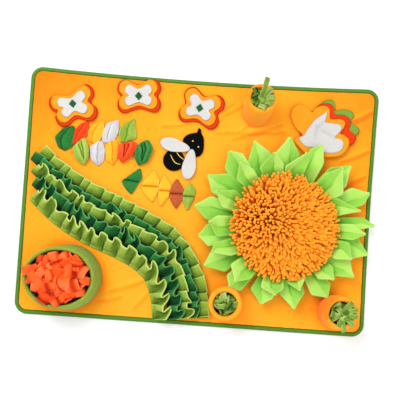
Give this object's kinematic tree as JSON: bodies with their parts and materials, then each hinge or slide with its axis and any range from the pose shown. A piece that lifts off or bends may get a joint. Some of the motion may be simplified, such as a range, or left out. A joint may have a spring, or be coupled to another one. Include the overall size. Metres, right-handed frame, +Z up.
{
  "type": "snuffle mat",
  "caption": "Fleece snuffle mat with a bound edge, chenille sunflower, pleated ribbon band, felt flowers and bee, folded leaves, and a stuffed cup and pots to hide treats in.",
  "frame": {"origin": "middle of the mat's underside, at the bottom centre of the part's box", "axes": "+X along the mat's long side, +Y towards the edge with the row of felt flowers, +Z up from the surface it lies on"},
  "size_m": [0.7068, 0.4979, 0.0958],
  "materials": {
    "orange_fleece": "brushed polar fleece",
    "green_binding": "knitted binding tape",
    "red_felt": "craft felt",
    "yellow_felt": "craft felt",
    "white_felt": "craft felt",
    "dark_green_felt": "craft felt",
    "leaf_green_felt": "craft felt",
    "black_felt": "craft felt",
    "dark_green_fleece": "polar fleece",
    "light_green_fleece": "polar fleece",
    "red_fleece": "polar fleece",
    "yellow_fleece": "polar fleece",
    "white_fleece": "polar fleece",
    "rust_fleece": "polar fleece",
    "cup_fleece": "polar fleece",
    "stuffing_fleece": "polar fleece",
    "grass_fleece": "polar fleece",
    "petal_fleece": "polar fleece",
    "chenille": "microfibre chenille locks"
  },
  "bodies": {
    "root": {"mat_panel": "orange_fleece", "binding": "green_binding", "flower_1_base": "red_felt", "flower_1_middle": "yellow_felt", "flower_1_top": "white_felt", "flower_1_centre": "dark_green_felt", "flower_2_base": "red_felt", "flower_2_middle": "yellow_felt", "flower_2_top": "white_felt", "flower_2_centre": "dark_green_felt", "flower_3_base": "red_felt", "flower_3_middle": "yellow_felt", "flower_3_top": "white_felt", "flower_3_centre": "dark_green_felt", "big_flower_green": "leaf_green_felt", "big_flower_red": "red_felt", "big_flower_orange": "yellow_felt", "big_flower_white": "white_felt", "bee_head": "black_felt", "bee_body": "black_felt", "bee_wing_1": "white_felt", "bee_wing_2": "white_felt", "leaf_a1_green": "dark_green_fleece", "leaf_a2_red": "red_fleece", "leaf_a3_yellow": "yellow_fleece", "leaf_a4_white": "white_fleece", "leaf_a5_lime": "light_green_fleece", "leaf_a6_lime": "light_green_fleece", "leaf_a7_white": "white_fleece", "leaf_a8_yellow": "yellow_fleece", "leaf_a9_red": "red_fleece", "leaf_a10_green": "dark_green_fleece", "leaf_b1_green": "dark_green_fleece", "leaf_b2_yellow": "yellow_fleece", "leaf_b3_yellow": "yellow_fleece", "leaf_b4_rust": "rust_fleece", "leaf_b5_lime": "light_green_fleece", "ribbon_1_light": "light_green_fleece", "ribbon_2_dark": "dark_green_fleece", "ribbon_3_light": "light_green_fleece", "ribbon_4_dark": "dark_green_fleece", "ribbon_5_light": "light_green_fleece", "cup_wall": "cup_fleece", "cup_stuffing": "stuffing_fleece", "pot_1_wall": "orange_fleece", "pot_1_grass": "grass_fleece", "pot_2_wall": "orange_fleece", "pot_2_grass": "grass_fleece", "pot_3_wall": "orange_fleece", "pot_3_grass": "grass_fleece", "petals_outer": "petal_fleece", "petals_inner": "petal_fleece", "chenille_pad": "chenille"}
  },
  "joints": []
}
